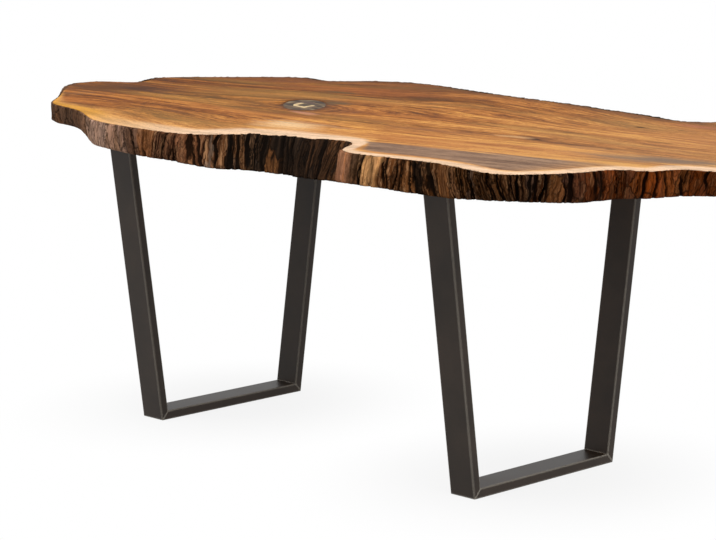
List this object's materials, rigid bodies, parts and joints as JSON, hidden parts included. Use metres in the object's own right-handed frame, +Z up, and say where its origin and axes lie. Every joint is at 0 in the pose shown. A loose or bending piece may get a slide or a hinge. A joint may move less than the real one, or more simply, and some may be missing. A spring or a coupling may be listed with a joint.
{
  "type": "live edge dining table",
  "caption": "Dining table with a free-form slab top that keeps its bark, on two splayed flat-tube steel leg frames.",
  "frame": {"origin": "on the floor under the middle of the slab's box", "axes": "+X along the table's length, +Y across it towards the straighter long edge, +Z up"},
  "size_m": [2.2678, 1.2082, 0.76],
  "materials": {
    "oiled_wood": "satin hardwax oil",
    "bark": "sealed, rough",
    "cast_resin": "polished",
    "knot_wood": "satin",
    "powder_coat": "satin powder coat",
    "zinc_steel": "zinc plated",
    "insert_brass": "plain"
  },
  "bodies": {
    "root": {"tabletop_slab": "oiled_wood", "bark_edge": "bark", "knot_resin": "cast_resin", "knot_heart": "knot_wood", "left_near_post": "powder_coat", "left_far_post": "powder_coat", "left_foot_bar": "powder_coat", "left_mounting_plate": "powder_coat", "left_plate_welds": "powder_coat", "right_near_post": "powder_coat", "right_far_post": "powder_coat", "right_foot_bar": "powder_coat", "right_mounting_plate": "powder_coat", "right_plate_welds": "powder_coat", "plate_bolts": "zinc_steel", "plate_washers": "zinc_steel", "threaded_inserts": "insert_brass"}
  },
  "joints": []
}
